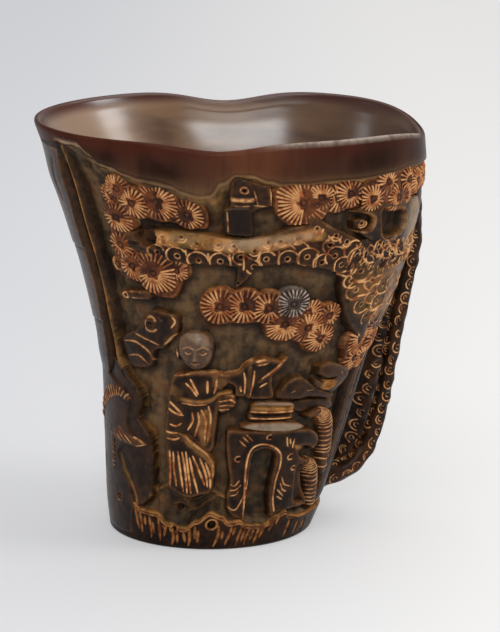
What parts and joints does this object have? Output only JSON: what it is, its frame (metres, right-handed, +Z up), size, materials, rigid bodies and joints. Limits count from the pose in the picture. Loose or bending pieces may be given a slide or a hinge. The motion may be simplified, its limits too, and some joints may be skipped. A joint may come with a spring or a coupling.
{
  "type": "chinese libation cup",
  "caption": "Dark carved horn libation cup with a flared wavy mouth, high relief of pines, rocks, a scholar and a stone altar, and an openwork pine-trunk handle",
  "frame": {"origin": "centre of the foot on the plane that the cup stands on", "axes": "+X towards the handle, -X towards the spout, -Y the front with the scholar, +Z up"},
  "size_m": [0.1068, 0.0732, 0.1164],
  "materials": {
    "polished_horn": "polished dark brown horn, worn to a soft gloss",
    "plug_horn": "plain smooth horn",
    "pine_wood_horn": "carved bark, dark on the tops and ochre in the cuts",
    "pine_needle_horn": "carved needles, ochre in the cuts",
    "figure_horn": "carved folds and marks, rubbed smooth on the tops",
    "rock_horn": "carved rock, rubbed smooth on the tops"
  },
  "bodies": {
    "root": {"horn_body": "polished_horn", "foot_plug": "plug_horn", "handle_trunk": "pine_wood_horn", "handle_back_branch": "pine_wood_horn", "scholar_head": "figure_horn", "scholar_hands": "figure_horn", "scholar_raised_arm": "figure_horn", "scholar_sash": "figure_horn", "scholar_robe": "figure_horn", "scholar_skirt": "figure_horn", "altar_tiers": "figure_horn", "altar_slab": "figure_horn", "altar_block": "figure_horn", "bough_main": "pine_wood_horn", "trunk_right": "pine_wood_horn", "bough_right": "pine_wood_horn", "burl_knob": "pine_wood_horn", "cut_branch_stub": "pine_wood_horn", "pine_pad_left_fan": "pine_needle_horn", "pine_pad_upper_left": "pine_needle_horn", "pine_pad_left_column": "pine_needle_horn", "pine_pad_upper_right": "pine_needle_horn", "pine_pad_upper_outer": "pine_needle_horn", "pine_pad_middle_left": "pine_needle_horn", "pine_pad_middle_round": "pine_needle_horn", "pine_pad_middle_right": "pine_needle_horn", "pine_pad_small_right": "pine_needle_horn", "cloud_rock_left": "rock_horn", "cloud_rock_hook": "rock_horn", "cloud_rock_right": "rock_horn", "ringed_frond_tall": "pine_needle_horn", "ringed_frond_short": "pine_needle_horn", "fern_frond_left": "pine_needle_horn", "veined_leaf_left": "pine_needle_horn", "base_rock_left": "rock_horn", "spout_rock": "rock_horn", "spout_rock_fold": "rock_horn", "ridge_rock_right": "rock_horn", "back_trunk": "pine_wood_horn", "back_bough_low": "pine_wood_horn", "back_pad_upper": "pine_needle_horn", "back_pad_shoulder": "pine_needle_horn", "back_pad_middle": "pine_needle_horn", "back_pad_low": "pine_needle_horn", "back_cloud_rock": "rock_horn", "back_base_rock": "rock_horn", "back_ridge_rock": "rock_horn"}
  },
  "joints": []
}
